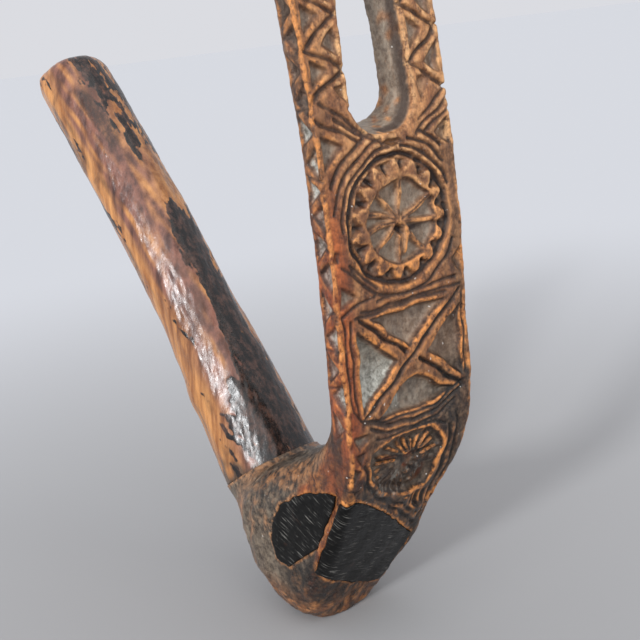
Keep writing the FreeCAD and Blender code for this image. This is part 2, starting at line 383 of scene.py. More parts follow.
def small_rosette(b):
    """Deep, skewed round hollow with a burst of short ridges, just above the heel's patch."""
    edge = [
        (-21.5, 76.0), (-19.6, 80.2), (-11, 82.4), (0, 82.6), (8, 81.2), (13.4, 77.6), (15.6, 70),
        (15, 62), (12.8, 55.6), (7, 54.8), (0, 57.2), (-8, 60.4), (-14.6, 64.6), (-19.6, 70)]
    b.chip(edge[::-1], 2.8, 1.25, 1.0, 0.75)
    rng = np.random.default_rng(9)
    burst_z = 70.6
    for k in range(23):
        a = math.radians(-40 + k * 15.7 + rng.uniform(-4, 4))
        far, near = rng.uniform(0.72, 0.95), rng.uniform(0.26, 0.5)
        start = (ROSE_X + near * ROSE_RX * math.cos(a), burst_z + near * ROSE_RZ * math.sin(a))
        a += 0.12
        end = (ROSE_X + far * ROSE_RX * math.cos(a), ROSE_Z + far * ROSE_RZ * math.sin(a))
        b.ridge(start, end, rng.uniform(1.3, 2.1), 0.62 if 2 < k < 13 else 0.4)
    b.groove([(-14, 74.8), (-4, 73), (6, 72.0)], 3.0, 3.4, 1.0)
    b.groove([(-3, 72), (3, 66), (8, 63)], 2.4, 3.2, 1.0)


def heel_lines(b):
    """Lines and small cuts round the small rosette and along the patch."""
    b.groove([(-23.4, 77), (-20.4, 67.6), (-14, 61.4), (-6, 55.4), (4, 46.4), (16.6, 35.6)],
                 1.9, 1.1)
    b.groove([(-9, 58.4), (3, 50.8), (13.4, 42)], 1.6, 0.9)
    b.chip([(1.5, 55), (15, 52.8), (15.8, 41.2)], 2.0, 1.2, 1.0, 0.4)
    for k in range(3):
        b.ridge((4.5 + 3.4 * k, 55), (8 + 3.4 * k, 44 - 0.6 * k), 1.8, 0.9)
    b.groove([(17.4, 79), (17.9, 66), (17.4, 52), (17.8, 38)], 1.8, 1.0)
    b.groove([(21, 82), (21.4, 66), (20.6, 50), (20.6, 36)], 1.6, 0.9)
    for points, depth, pale in (([(-29, 78.5), (-24.8, 75.6), (-28.2, 70)], 1.7, 0.8),
                                ([(-25, 73), (-21.2, 70), (-20.8, 62.8)], 1.7, 0.6),
                                ([(-28, 82.4), (-22.8, 81.8), (-24.6, 77.0)], 1.6, 0.7),
                                ([(-28, 69), (-24, 68), (-26, 64.6)], 1.4, 0.5)):
        b.chip(points, depth, 1.2, 0.9, pale)


def top_bar(b):
    """The bar above the slot: a guessed repeat of the same double lines and triangles."""
    b.groove([(-27, 273.5), (0, 272.4), (27, 273.5)], 1.5, 0.8)
    b.groove([(-24, 291), (0, 291.8), (24, 291)], 1.5, 0.8)
    for k in range(5):
        u = -20.0 + 10.0 * k
        b.chip([(u - 4.2, 276.2), (u + 4.2, 276.2), (u, 282.6)], 1.2, 1.0, 0.8, 0.5)
        if k < 4:
            b.chip([(u + 0.9, 288.8), (u + 9.1, 288.8), (u + 5, 282.4)], 1.2, 1.0, 0.8, 0.5)


def carved_board():
    """Everything cut into the front face."""
    b = Board(-31.0, 31.0, 20.0, 300.0)
    b.groove([(-28.8, 292), (-28.9, 200), (-28.9, 100), (-29.0, 84)], 1.0, 0.35, 0.35)
    rail(b, -14.0, -28.4, [195.5, 203.5, 211, 219.8, 227, 235.5, 243, 251.5, 259, 267])
    rail(b, 14.8, 28.6, [193.5, 202.3, 212.5, 221, 231.5, 240, 250, 259, 267])
    for carve in (slot_foot, big_rosette, below_rosette, crossed_panel, arc_border, small_rosette,
                  heel_lines, top_bar):
        carve(b)
    return worn(b)


def edge_board(seed):
    """Border of alternating triangles down one side edge, u back from the front arris."""
    b = Board(-1.0, 14.0, 70.0, 300.0, wobble=0.25)
    rng = np.random.default_rng(seed)
    z, flip = 86.0, False
    while z < 284.0:
        tall = 9.6 + rng.uniform(-1.3, 1.3)
        near, far = (1.2, 7.6) if flip else (8.0, 1.4)
        near, far = near + rng.uniform(-0.3, 0.3), far + rng.uniform(-0.5, 0.5)
        middle = z + 0.5 * tall + 2.0
        bay = [(near, z + 0.7), (near, z + tall + 3.4), (far, middle + rng.uniform(-1, 1))]
        pale = rng.uniform(0.55, 1.0) * (0.45 if z > 186.0 else 1.0)
        b.chip(bay, 1.7, 1.1, 0.85, pale, deep=(near, middle))
        z += tall * 0.98
        flip = not flip
    for at in (106.0, 118.0, 131.0, 150.0, 172.0, 194.0, 214.0):
        b.groove([(0.6, at), (8.6, at + rng.uniform(-3, 4))], 1.3, 0.7, 0.7)
    return worn(b)


FRONT = carved_board()
LEFT_EDGE, RIGHT_EDGE = edge_board(11), edge_board(12)


def edge_read(layer, x, u, z):
    """Values of a layer of the left or the right edge board, whichever side x is on."""
    return np.where(x < 0, LEFT_EDGE.read(layer, u, z), RIGHT_EDGE.read(layer, u, z))


# ---------- the carved limb as a solid ----------
FRONT_BED = [
    (-30, 20), (-29, 33), (-25.5, 36.5), (-18, 31.5), (-7.5, 22.5), (4.5, 10.5), (13.5, 1),
    (17.5, -3), (17.5, -9), (15.5, -16), (14, -23), (11, -27.5), (4, -25), (-7, -18.5), (-19, -9.5),
    (-27.5, -4), (-30, 4)]
SIDE_BED = [
    (-5, 30), (-5, 40), (-9, 48), (-14, 54.5), (-25, 61), (-38, 65.5), (-46, 66), (-46, 58),
    (-40, 49), (-34, 43.5), (-26, 38.5), (-18, 33), (-12, 28.5)]


def up_facet(y, z):
    """Place up the heel's sloping front facet."""
    return -0.53 * (y + 33.0) + 0.848 * (z - 33.0)


def outline_distance(points, u, v):
    """Signed distance to a closed outline, negative inside."""
    best = np.full(u.shape, 1e6)
    inside = np.zeros(u.shape, bool)
    for a, b in zip(points, points[1:] + points[:1]):
        dx, dy = b[0] - a[0], b[1] - a[1]
        t = np.clip(((u - a[0]) * dx + (v - a[1]) * dy) / (dx * dx + dy * dy), 0.0, 1.0)
        best = np.minimum(best, np.hypot(u - a[0] - t * dx, v - a[1] - t * dy))
        crosses = (a[1] > v) != (b[1] > v)
        inside ^= crosses & (u < a[0] + (v - a[1]) * dx / (dy if dy else 1e-9))
    return np.where(inside, -best, best)


def beds(x, y, z, body, shrink=0.0):
    """Signed distances of the two pitch beds: ragged outlines, a constant depth into the heel."""
    rag = 0.28 * waves(x, y, z, 5, 21)
    behind = y - front_y(z)
    floor = -body - PITCH_T + shrink
    front = most(outline_distance(FRONT_BED, x, up_facet(y, z)), behind - FRONT_BED_T)
    side = most(outline_distance(SIDE_BED, y, z), SIDE_BED_T - behind)
    front, side = front + rag + shrink, side + rag + shrink
    return most(front, floor), most(side, x + 16.0, floor)


def carved_blank(x, y, z):
    """Signed distance of the front, sides and back with their knife work, negative inside."""
    fy, fs = front_y(z), slope_of(front_y, z)
    front = (fy + FRONT.read("depth", x, z) * step01(z, 24, 34) - y) / np.sqrt(1.0 + fs * fs)
    x0, x1 = left_x(z), right_x(z)
    mid, half = 0.5 * (x0 + x1), 0.5 * (x1 - x0)
    side = np.abs(x - mid) - half + edge_read("depth", x, y - fy, z) * step01(z, 78, 86)
    over_x = most(np.abs(x) - (HALF_W - CORNER_R), 0.0)
    over_z = most(z - (TOP_Z - CORNER_R), 0.0)
    corner = np.hypot(over_x, over_z) - CORNER_R
    side = np.where(z > TOP_Z - CORNER_R, most(corner, side), side)
    bulge = back_bulge(z)
    u = np.clip((x - mid) / half, -1.1, 1.1)
    by = back_edge(z) + bulge * (1.0 - u * u)
    bs = slope_of(back_edge, z)
    back = (y - by) / np.sqrt(1.0 + bs * bs + (2.0 * bulge * u / half) ** 2)
    return smax(smax(front, side, front_soft(z)), back, back_soft(z))


def collar(t, r):
    """Signed distance of the heel's round collar under the round limb."""
    cone = COLLAR_R + (t - SEAM_T) * 0.15 + 0.1 * step01(t, -6, 0)
    return smax(smax((r - cone) * 0.98, t - SEAM_T, 0.5), -46.0 - t, 8.0)


def slot(x, y, z):
    """Signed distance of the slot, whose foot rises towards the back."""
    rise = np.clip(y - front_y(z), 0.0, 20.0) * 0.2 * step01(np.abs(z - SLOT_Z0), 20, 10)
    zc, zh = 0.5 * (SLOT_Z0 + SLOT_Z1), 0.5 * (SLOT_Z1 - SLOT_Z0)
    nip = 1.5 * step01(z, 206, 224) * (x < 0)
    qu = np.abs(x - 0.2) - SLOT_X + nip + SLOT_R
    qv = np.abs(z - rise - zc) - zh + SLOT_R
    return np.hypot(most(qu, 0.0), most(qv, 0.0)) \
        + np.minimum(most(qu, qv), 0.0) - SLOT_R


def body_solid(x, y, z):
    """Signed distance of the carved limb with its slot and knife work, before the joint is cut."""
    t, r, _ = limb_coords(x, y, z)
    d = smin(carved_blank(x, y, z), collar(t, r), 7.0)
    d = smax(d, -slot(x, y, z), 1.3)
    calm = 1.0 - step01(t, -9, -2) * (r < SOCKET_REACH)
    d = smax(d, z - TOP_Z, 2.0) + surface_noise(x, y, z) * calm
    return smax(d, -z, 1.6)


def peg_bore(x, y, z, radius):
    """The cross peg's round hole, from inside the tenon out through the right cheek."""
    return most(np.hypot(y - PEG_Y, z - PEG_Z) - radius, PEG_END_X - x)


def surface_noise(x, y, z):
    """Hand-cut unevenness: broad on the heel, fine on the carved face."""
    heel = step01(z, 84, 60)
    return (0.10 + 0.3 * heel) * waves(x, y, z, 11, 31) + 0.07 * waves(x, y, z, 3.4, 32)


def carved_solid(x, y, z):
    """Signed distance of the carved limb, with its socket, peg hole and pitch beds."""
    d = body_solid(x, y, z)
    t, r, _ = limb_coords(x, y, z)
    socket = most(r - SOCKET_R, SEAM_T - t)
    mortise = most(r - TENON_R, SEAM_T - TENON_L - t)
    return most(d, -np.minimum(*beds(x, y, z, d)), -socket, -mortise, -peg_bore(x, y, z, PEG_R))


def peg_solid(x, y, z):
    """Signed distance of the cross peg, whose end stands a hair proud of the cheek."""
    return most(body_solid(x, y, z) - 0.12, peg_bore(x, y, z, PEG_R - 0.05))


# ---------- the round limb as a solid ----------
def limb_solid(x, y, z):
    """Signed distance of the round limb with its tenon."""
    t, r, angle = limb_coords(x, y, z)
    knot = 1.3 * np.exp(-((t - 40.0) / 7.0) ** 2 - ((np.abs(angle + 1.1)) / 0.45) ** 2)
    flats = 0.1 * np.cos(7.0 * angle + 0.02 * t) * step01(t, 6, 30)
    swell = 0.25 * along_limb(t, angle, 12, 41) * step01(t, 2, 12)
    skin = limb_r(t) + knot + flats + swell
    skin += 0.07 * along_limb(t, angle, 2.6, 42) - bare_drop(t, angle)
    shaft = smax(r - skin, t - LIMB_LEN, 8.0)
    shaft = smax(shaft, SEAM_T + 0.05 - t, 0.4)
    from_end = t - SEAM_T + TENON_L
    tenon = most(r - TENON_R + 0.05, SEAM_T - TENON_L - t, t - SEAM_T - 3.0)
    q = (y - ROOT_Y) * LZ - (z - ROOT_Z) * LX
    slit = np.abs(q) - KEY_T + from_end * 1.2 / KEY_L - GAP
    slit = most(slit, np.abs(x) - (KEY_X + GAP), from_end - (KEY_L + GAP))
    return most(np.minimum(shaft, tenon), -slit, -peg_bore(x, y, z, PEG_R))


def along_limb(t, angle, size, seed, drawn=0.3):
    """Noise wrapped round the limb and drawn out along it."""
    return waves(16.0 * np.cos(angle), 16.0 * np.sin(angle), drawn * t, size, seed)


def coat_mask(t, angle):
    """Where the round limb still has its black coat: 1 coated, 0 bare."""
    a = np.degrees(angle) % 360.0
    middle = 166.0 + 26.0 * step01(t, 58, 12)
    side = step01(np.abs(a - middle), 44.0 + 44.0 * step01(t, 56, 14), 12.0)
    rag = 0.28 * along_limb(t, angle, 11, 43, 0.3) + 0.15 * along_limb(t, angle, 4, 44, 0.35)
    rag += 0.1 * along_limb(t, angle, 1.8, 46, 0.5)
    rear = 0.8 * step01(np.abs((a + 180.0) % 360.0 - 180.0), 90, 50)
    rear = rear * step01(along_limb(t, angle, 40, 45), -0.4, 0.6)
    upper = 0.5 * step01(np.abs(a - 150.0), 80, 30) * step01(t, 120, 150)
    return step01(most(side * step01(t, 138, 96), upper, rear) + rag, 0.32, 0.66)


def bare_drop(t, angle):
    """Bare wood lies a little below the black coat."""
    return 0.14 * (1.0 - coat_mask(t, angle)) * step01(t, 4, 20)


# ---------- the black pitch as solids ----------
def pitch_skin(x, y, z, body, along):
    """Outer face of the pitch: a hair proud of the wood, with long fine scratches."""
    s = along + 0.7 * waves(x, y, z, 30, 51)
    lines = np.abs(np.sin(0.62 * s + 1.2 * waves(x, y, z, 40, 52)))
    return body - 0.25 + 0.09 * (1.0 - step01(lines, 0, 0.12)) - 0.8 * surface_noise(x, y, z)


def front_patch_solid(x, y, z):
    body = body_solid(x, y, z)
    skin = pitch_skin(x, y, z, body, 0.6 * x + 0.8 * up_facet(y, z))
    return most(skin, beds(x, y, z, body, 0.06)[0])


def side_patch_solid(x, y, z):
    body = body_solid(x, y, z)
    return most(pitch_skin(x, y, z, body, 0.5 * y - 0.87 * z), beds(x, y, z, body, 0.06)[1])


# ---------- meshing a solid ----------
CORNERS = [(i, j, k) for i in (0, 1) for j in (0, 1) for k in (0, 1)]


def measured(field, points):
    """Field values at many points, a block at a time on several threads."""
    blocks = np.array_split(points, max(1, len(points) // 150000))
    with ThreadPoolExecutor(4) as pool:
        return np.concatenate(list(pool.map(lambda p: field(p[:, 0], p[:, 1], p[:, 2]), blocks)))


def sampled(field, low, high, step, reach=4.2, fine=6):
    """Field values on a grid: exact within reach of the surface, only a sign elsewhere."""
    big = fine * step
    n = np.ceil((np.array(high, float) - low) / big).astype(int) + 1
    blocks = np.stack(np.meshgrid(*[np.arange(k) for k in n], indexing="ij"), -1).reshape(-1, 3)
    coarse = measured(field, low + (blocks + 0.5) * big)
    grid = np.where(coarse > 0, 9.0, -9.0).astype(np.float32).reshape(n)
    for axis in range(3):
        grid = np.repeat(grid, fine, axis)
    cell = np.stack(np.meshgrid(*[np.arange(fine)] * 3, indexing="ij"), -1).reshape(-1, 3)
    near = (blocks[np.abs(coarse) < reach][:, None, :] * fine + cell[None]).reshape(-1, 3)
    grid[near[:, 0], near[:, 1], near[:, 2]] = measured(field, low + near * step)
    return grid


def crossings(grid, inside):
    """A vertex for every cell that the surface passes, and each cell's vertex number."""
    some, every = inside[:-1, :-1, :-1].copy(), inside[:-1, :-1, :-1].copy()
    ni, nj, nk = inside.shape
    for i, j, k in CORNERS[1:]:
        part = inside[i:ni - 1 + i, j:nj - 1 + j, k:nk - 1 + k]
        some |= part
        every &= part
    at = np.argwhere(some & ~every)
    value = np.stack([grid[at[:, 0] + i, at[:, 1] + j, at[:, 2] + k] for i, j, k in CORNERS], 1)
    total, hits = np.zeros((len(at), 3)), np.zeros((len(at), 1))
    for a, ca in enumerate(CORNERS):
        for b, cb in enumerate(CORNERS):
            if b > a and sum(abs(p - q) for p, q in zip(ca, cb)) == 1:
                cross = (value[:, a] < 0) != (value[:, b] < 0)
                t = value[:, a] / np.where(cross, value[:, a] - value[:, b], 1.0)
                place = np.array(ca) + t[:, None] * (np.array(cb) - np.array(ca))
                total += np.where(cross[:, None], place, 0.0)
                hits += cross[:, None]
    index = np.full(some.shape, -1, np.int32)
    index[at[:, 0], at[:, 1], at[:, 2]] = np.arange(len(at))
    return at + total / hits, index


def net(field, low, high, step):
    """Vertices and quads where the field is zero, one vertex to a grid cell."""
    low = np.array(low, float)
    grid = sampled(field, low, high, step)
    inside = grid < 0
    cells, index = crossings(grid, inside)
    quads = []
    for axis in range(3):
        b, c = (axis + 1) % 3, (axis + 2) % 3
        first, second = [slice(1, -1)] * 3, [slice(1, -1)] * 3
        first[axis], second[axis] = slice(0, -1), slice(1, None)
        shift = np.array([1, 1, 1])
        shift[axis] = 0
        one, two = inside[tuple(first)], inside[tuple(second)]
        edge = np.argwhere(one != two)
        out = one[edge[:, 0], edge[:, 1], edge[:, 2]]
        edge = edge + shift
        ring = []
        for db, dc in ((-1, -1), (0, -1), (0, 0), (-1, 0)):
            p = edge.copy()
            p[:, b] += db
            p[:, c] += dc
            ring.append(index[p[:, 0], p[:, 1], p[:, 2]])
        ring = np.stack(ring, 1)
        quads.append(np.where(out[:, None], ring, ring[:, ::-1]))
    return low + cells * step, np.concatenate(quads)


def settle(field, verts, step):
    """Moves vertices onto the exact surface, by one step along the field's slope."""
    e = 0.12
    rise = [measured(field, verts + e * a) - measured(field, verts - e * a) for a in np.eye(3)]
    slope = np.stack(rise, 1) / (2 * e)
    size = most((slope ** 2).sum(1), 0.2)
    move = -measured(field, verts)[:, None] * slope / size[:, None]
    return verts + np.clip(move, -0.45 * step, 0.45 * step)


def smoothed(mesh):
    mesh.polygons.foreach_set("use_smooth", np.ones(len(mesh.polygons), bool))


def placed(name, data):
    """New object in the scene."""
    ob = bpy.data.objects.new(name, data)
    bpy.context.scene.collection.objects.link(ob)
    return ob


def make_mesh(name, verts, faces):
    """Blender object from arrays of vertices in millimetres and of quads."""
    mesh = bpy.data.meshes.new(name)
    mesh.vertices.add(len(verts))
    mesh.vertices.foreach_set("co", (verts * MM).astype(np.float32).ravel())
    mesh.loops.add(faces.size)
    mesh.loops.foreach_set("vertex_index", faces.astype(np.int32).ravel())
    mesh.polygons.add(len(faces))
    starts = np.arange(0, faces.size, faces.shape[1], dtype=np.int32)
    mesh.polygons.foreach_set("loop_start", starts)
    mesh.update(calc_edges=True)
    mesh.validate()
    smoothed(mesh)
    return placed(name, mesh)


def thinned(ob, ratio):
    """Replaces the mesh by one with fewer faces, losing them first where it is smooth."""
    mod = ob.modifiers.new("thin", "DECIMATE")
    mod.ratio = ratio
    dg = bpy.context.evaluated_depsgraph_get()
    mesh = bpy.data.meshes.new_from_object(ob.evaluated_get(dg))
    ob.modifiers.clear()
    ob.data = mesh
    smoothed(mesh)


def places(ob):
    """Vertex places in millimetres, and their normals."""
    n = len(ob.data.vertices)
    co, no = np.empty(n * 3), np.empty(n * 3)
    ob.data.vertices.foreach_get("co", co)
    ob.data.vertices.foreach_get("normal", no)
    return co.reshape(-1, 3) / MM, no.reshape(-1, 3)


def paint(ob, **layers):
    """Stores per-vertex masks for the materials."""
    for name, values in layers.items():
        layer = ob.data.attributes.new(name, "FLOAT", "POINT")
        layer.data.foreach_set("value", np.clip(values, 0.0, 1.0).astype(np.float32))


def piece(name, field, low, high, step=1.1 * STEP, ratio=THIN_SMALL):
    """A meshed, thinned object from a solid."""
    verts, quads = net(field, low, high, step)
    ob = make_mesh(name, settle(field, verts, step), quads)
    thinned(ob, ratio)
    return ob


# ---------- materials ----------
def srgb(c):
    """Display colour 0-255 to linear RGBA."""
    lin = [((v / 255.0 + 0.055) / 1.055) ** 2.4 if v > 10 else v / 255.0 / 12.92 for v in c]
    return (*lin, 1.0)


class Look:
    """Small helper for a procedural material."""

    def __init__(self, name):
        self.mat = bpy.data.materials.new(name)
        self.mat.use_nodes = True
        self.tree = self.mat.node_tree
        self.shader = self.tree.nodes["Principled BSDF"]
        self.coords = self.tree.nodes.new("ShaderNodeTexCoord").outputs["Object"]

    def feed(self, socket, value):
        """Links another socket, or sets a constant on this one."""
        if isinstance(value, bpy.types.NodeSocket):
            self.tree.links.new(value, socket)
        else:
            socket.default_value = value

    def node(self, kind, feeds, **facts):
        """A new node with its settings made and its inputs fed."""
        n = self.tree.nodes.new("ShaderNode" + kind)
        for k, v in facts.items():
            setattr(n, k, v)
        for k, v in feeds.items():
            self.feed(n.inputs[k], v)
        return n

    def mask(self, name):
        return self.node("Attribute", {}, attribute_name=name).outputs["Fac"]

    def noise(self, size_mm, stretch=(1, 1, 1), detail=5.0, rough=0.6, turn=(0, 0, 0)):
        """Noise with features of about size_mm, drawn out where stretch is small."""
        place = {"Vector": self.coords, "Rotation": turn, "Scale": stretch}
        vector = self.node("Mapping", place, vector_type="POINT").outputs["Vector"]
        return self.node("TexNoise", {"Vector": vector, "Scale": 1000.0 / size_mm, "Detail": detail,
                                      "Roughness": rough}).outputs["Fac"]

    def math(self, op, a, b):
        return self.node("Math", {0: a, 1: b}, operation=op).outputs["Value"]

    def times(self, a, b):
        return self.math("MULTIPLY", a, b)

    def span(self, value, a, b, lo=0.0, hi=1.0):
        """Smooth rescale of a..b to lo..hi."""
        feeds = {0: value, 1: a, 2: b, 3: lo, 4: hi}
        return self.node("MapRange", feeds, interpolation_type="SMOOTHSTEP").outputs["Result"]

    def mix(self, fac, a, b, blend="MIX"):
        """Colour a, with colour b laid over it by the share fac."""
        a, b = (c if isinstance(c, bpy.types.NodeSocket) else srgb(c) for c in (a, b))
        feeds = {"Factor": fac, 6: a, 7: b}
        return self.node("Mix", feeds, data_type="RGBA", blend_type=blend).outputs[2]

    def tones(self, value, a, b, first, last):
        """Colour that goes from first to last as a value rises from a to b."""
        return self.mix(self.span(value, a, b), first, last)

    def bump(self, height, strength, distance_mm, under=None):
        feeds = {"Height": height, "Strength": strength, "Distance": distance_mm * MM}
        if under is not None:
            feeds["Normal"] = under
        return self.node("Bump", feeds).outputs["Normal"]

    def shade(self, colour, rough, normal=None, specular=0.5):
        """Feeds the shader and gives back the finished material."""
        self.feed(self.shader.inputs["Base Color"], colour)
        self.feed(self.shader.inputs["Roughness"], rough)
        if normal is not None:
            self.feed(self.shader.inputs["Normal"], normal)
        self.shader.inputs["Specular IOR Level"].default_value = specular
        return self.mat


def carved_material():
    """Brown wood with pale dust in the hollows, soot and painted shade, dirt and painted shade in
    the cuts, edges rubbed and lightened as painted highlight, chalk with a painted highlight, and
    painted glints.
    """
    m = Look("carved_wood")
    grain = m.noise(5.0, (1, 1, 0.12), 6.0, 0.62)
    blotch = m.noise(17.0, (1, 1, 0.7), 4.0, 0.55)
    fine = m.noise(0.9, (1, 1, 0.6), 4.0, 0.7)
    speck = m.noise(2.4, (1, 1, 0.85), 8.0, 0.74)
    painted_glint = m.noise(1.6, (1, 1, 1), 2.0, 0.5)
    colour = m.tones(grain, 0.32, 0.68, (160, 102, 62), (228, 164, 106))
    colour = m.mix(m.span(blotch, 0.46, 0.66, 0.0, 0.6), colour, (120, 78, 56))
    colour = m.mix(m.times(m.mask("low"), 0.35), colour, (98, 60, 38))
    red = m.tones(grain, 0.35, 0.7, (126, 56, 26), (206, 112, 56))
    colour = m.mix(m.mask("red"), colour, red)
    dust = m.tones(speck, 0.14, 0.84, (76, 70, 60), (184, 176, 160))
    colour = m.mix(m.times(m.mask("pale"), m.span(fine, 0.12, 0.55, 0.6, 1.0)), colour, dust)
    # Pale chalk in the side triangles, and a painted highlight in the crossed panel's left hollow
    chalk = m.tones(speck, 0.36, 0.62, (134, 134, 124), (208, 208, 198))
    colour = m.mix(m.mask("chalk"), colour, chalk)
    flank = m.tones(blotch, 0.3, 0.7, (92, 80, 68), (150, 138, 120))
    flank = m.mix(0.35, flank, m.tones(speck, 0.3, 0.7, (70, 60, 50), (160, 146, 126)))
    colour = m.mix(m.mask("flank"), colour, flank)
    # Soot colour, also used as painted shade on the right part of the upper front
    soot = m.tones(speck, 0.44, 0.68, (30, 26, 23), (112, 92, 72))
    colour = m.mix(m.times(m.mask("soot"), m.span(grain, 0.2, 0.62, 0.7, 1.0)), colour, soot)
    # Darkening in the cuts, hollow rims and creases: partly dirt, partly painted shade
    dirt_and_shade = m.mix(m.mask("soot"), (54, 36, 28), (20, 17, 15))
    colour = m.mix(m.times(m.mask("dark"), m.span(speck, 0.25, 0.5, 0.8, 1.0)), colour, dirt_and_shade)
    # Ridges and proud edges lightened: partly real wear, partly painted highlight
    rubbed_and_highlight = m.mix(m.mask("low"), (250, 194, 134), (240, 158, 84))
    colour = m.mix(m.times(m.mask("wear"), m.span(speck, 0.36, 0.52)), colour, rubbed_and_highlight)
    shadow = m.tones(speck, 0.36, 0.6, (164, 156, 150), (255, 255, 255))
    shadow = m.mix(m.span(fine, 0.3, 0.6), m.mix(0.35, shadow, (120, 116, 112)), shadow)
    colour = m.mix(m.span(m.mask("pale"), 0.0, 1.0, 1.0, 0.4), colour, shadow, "MULTIPLY")
    # Painted glints: tiny white specks of painted highlight
    colour = m.mix(m.span(painted_glint, 0.74, 0.79, 0.0, 0.8), colour, (244, 240, 232))
    rough = m.math("ADD", m.span(speck, 0.3, 0.65, 0.24, 0.46), m.times(m.mask("pale"), 0.04))
    normal = m.bump(fine, 0.7, 0.45, m.bump(speck, 0.8, 0.8, m.bump(grain, 0.4, 0.7)))
    return m.shade(colour, rough, normal)


def limb_material():
    """Tan and mauve wood along the limb under a glossy, worn black coat."""
    m = Look("limb_wood")
    turn = (math.radians(90 - LIMB_ANGLE), 0, 0)
    grain = m.noise(4.0, (1, 1, 0.1), 6.0, 0.62, turn)
    blotch = m.noise(15.0, (1, 1, 0.4), 5.0, 0.6, turn)
    fine = m.noise(1.2, (1, 1, 0.3), 6.0, 0.7, turn)
    crust = m.noise(3.0, (1, 1, 0.4), 6.0, 0.75, turn)
    ragged = m.noise(1.8, (1, 1, 0.5), 6.0, 0.8, turn)
    tan = m.tones(grain, 0.3, 0.7, (140, 86, 46), (206, 146, 88))
    mauve = m.tones(grain, 0.3, 0.7, (66, 43, 39), (138, 92, 76))
    colour = m.mix(m.mask("streak"), tan, mauve)
    colour = m.mix(m.span(blotch, 0.54, 0.66, 0.0, 0.7), colour, (84, 52, 38))
    dark = m.times(m.mask("dark"), m.span(fine, 0.3, 0.6, 0.4, 1.0))
    colour = m.mix(dark, colour, (44, 31, 26))
    grey = m.tones(blotch, 0.35, 0.65, (50, 42, 37), (88, 76, 64))
    colour = m.mix(m.mask("heel"), colour, grey)
    black = m.tones(crust, 0.42, 0.72, (20, 17, 17), (92, 66, 56))
    edge = m.math("ADD", m.mask("coat"), m.times(ragged, 0.9))
    colour = m.mix(m.span(edge, 0.74, 1.16), colour, black)
    normal = m.bump(fine, 0.25, 0.35, m.bump(grain, 0.28, 0.6))
    return m.shade(colour, m.span(fine, 0.3, 0.7, 0.17, 0.34), normal)


def pitch_material(name, across, along):
    """Black pitch with fine pale scratches that run in the direction along."""
    m = Look(name)
    place = {}
    for axis, way, scale in (("X", across, 1000.0), ("Y", along, 60.0)):
        way = Vector(way).normalized() * scale
        dot = m.node("VectorMath", {0: m.coords, 1: way}, operation="DOT_PRODUCT")
        drift = m.times(m.noise(30.0, (1, 1, 1), 1.0), 0.004 * scale)
        place[axis] = m.math("ADD", dot.outputs["Value"], drift)
    vector = m.node("CombineXYZ", place).outputs["Vector"]
    fine = m.node("TexNoise", {"Vector": vector, "Scale": 2.1, "Detail": 3.0})
    lines = m.span(fine.outputs["Fac"], 0.56, 0.66)
    lines = m.times(lines, m.span(m.noise(4.0, (1, 1, 1), 4.0), 0.4, 0.64))
    soft = m.noise(2.0, (1, 1, 1), 6.0, 0.7)
    colour = m.tones(soft, 0.4, 0.75, (10, 10, 10), (26, 25, 24))
    colour = m.mix(m.span(m.noise(9.0), 0.62, 0.74, 0.0, 0.6), colour, (58, 38, 30))
    colour = m.mix(m.times(lines, 0.7), colour, (136, 134, 128))
    normal = m.bump(soft, 0.25, 0.3, m.bump(lines, 0.3, 0.2))
    return m.shade(colour, m.span(soft, 0.3, 0.7, 0.28, 0.44), normal, 0.14)


def peg_material():
    m = Look("peg_wood")
    grain = m.noise(1.2, (0.1, 1, 1), 5.0, 0.6)
    colour = m.tones(grain, 0.3, 0.7, (104, 70, 46), (146, 104, 70))
    return m.shade(colour, m.span(grain, 0.3, 0.7, 0.5, 0.65))


# ---------- the pieces ----------
def carved_areas(x, y, z, n):
    """Areas of the carved limb's skin with their own look, as shares from 0 to 1."""
    a = SimpleNamespace(behind=y - front_y(z))
    a.front = step01(a.behind, 4.6, 3.8) * (n[:, 1] < 0.1) * step01(z, 26, 34)
    a.side = step01(np.abs(x), 26.6, 27.6) * step01(a.behind, 14, 12) \
        * step01(z, 76, 82) * (np.abs(n[:, 0]) > 0.45)
    in_slot = (np.abs(x) < 14.6) * (z > SLOT_Z0 - 3.0) * (z < SLOT_Z1 + 3.0)
    a.slot_wall = in_slot * step01(a.behind, 1.2, 2.6) \
        * step01(y - back_edge(z) - back_bulge(z), 1, -2)
    a.back = step01(a.behind, 8, 10) * step01(z, 66, 90) * (1.0 - a.slot_wall)
    throat_line = y + 0.97 * (z - 62.0) + 24.0 + 1.5 * waves(x, y, z, 9, 68)
    a.throat = step01(throat_line, 3, -3) * step01(z, 55, 61) * step01(z, 100, 88) \
        * (1.0 - a.front)
    low = most(step01(z, 84, 72), step01(y, -26, -16))
    a.heel = low * step01(a.behind, 5, 9) * (1.0 - a.throat)
    a.foot = step01(z, 24, 10)
    a.rear = step01(0.86 * n[:, 1] - 0.5 * n[:, 0], 0.7, 0.9) * step01(z, 62, 40) * step01(z, 6, 16)
    a.fork = step01(np.hypot(y + 9.0, z - 68.0), 32, 15)
    a.bare = step01(y, 0, -14) * step01(y, -42, -30) * step01(z, 44, 34) * step01(z, 8, 14)
    a.rose = step01(np.hypot((x - ROSE_X) / ROSE_RX, (z - ROSE_Z) / ROSE_RZ), 1, 0.9)
    a.red = most(
        step01(x, -20, -27) * step01(z, 182, 150) * step01(a.behind, 12, 8),
        a.throat, 0.15 * a.foot)
    return a


